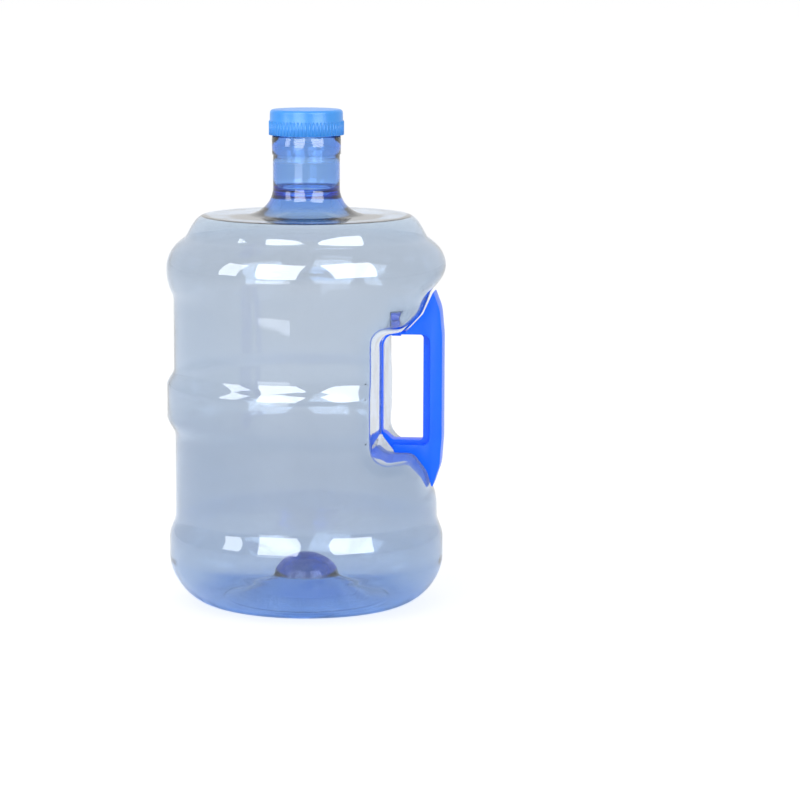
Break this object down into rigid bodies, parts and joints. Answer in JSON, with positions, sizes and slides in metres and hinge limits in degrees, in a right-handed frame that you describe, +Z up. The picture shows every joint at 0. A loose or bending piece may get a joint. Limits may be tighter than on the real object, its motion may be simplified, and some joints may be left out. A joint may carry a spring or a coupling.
{
  "type": "large screw-cap water jug",
  "caption": "Large clear ringed water jug with a narrow screw neck, a ribbed screw cap with a sealing disc, and a grip handle moulded into a notch in its side.",
  "frame": {"origin": "the middle of the foot ring's resting plane, on the bottle's axis", "axes": "+Z up along the bottle's axis, towards the cap; +X towards the handle"},
  "size_m": [0.209, 0.209, 0.37],
  "materials": {
    "clear_blue_plastic": "clear blow-moulded plastic with a light blue tint",
    "blue_handle_plastic": "satin injection-moulded",
    "blue_cap_plastic": "satin injection-moulded with grip ribs",
    "white_seal": "soft smooth"
  },
  "bodies": {
    "jug": {"bottle": "clear_blue_plastic", "handle": "blue_handle_plastic"},
    "seal": {"cap_seal": "white_seal"},
    "cap": {"screw_cap": "blue_cap_plastic"}
  },
  "joints": [
    {"name": "cap_lift", "type": "slide", "parent": "jug", "child": "seal", "axis": [0, 0, 1], "range_m": [0, 0.025]},
    {"name": "cap_turn", "type": "hinge", "parent": "seal", "child": "cap", "pos_m": [0, 0, 0.351], "axis": [0, 0, 1], "range_deg": [0, 1800]}
  ],
  "couplings": [
    {"joint": "cap_lift", "follows": "cap_turn", "m_per_rad": 0.000795}
  ]
}
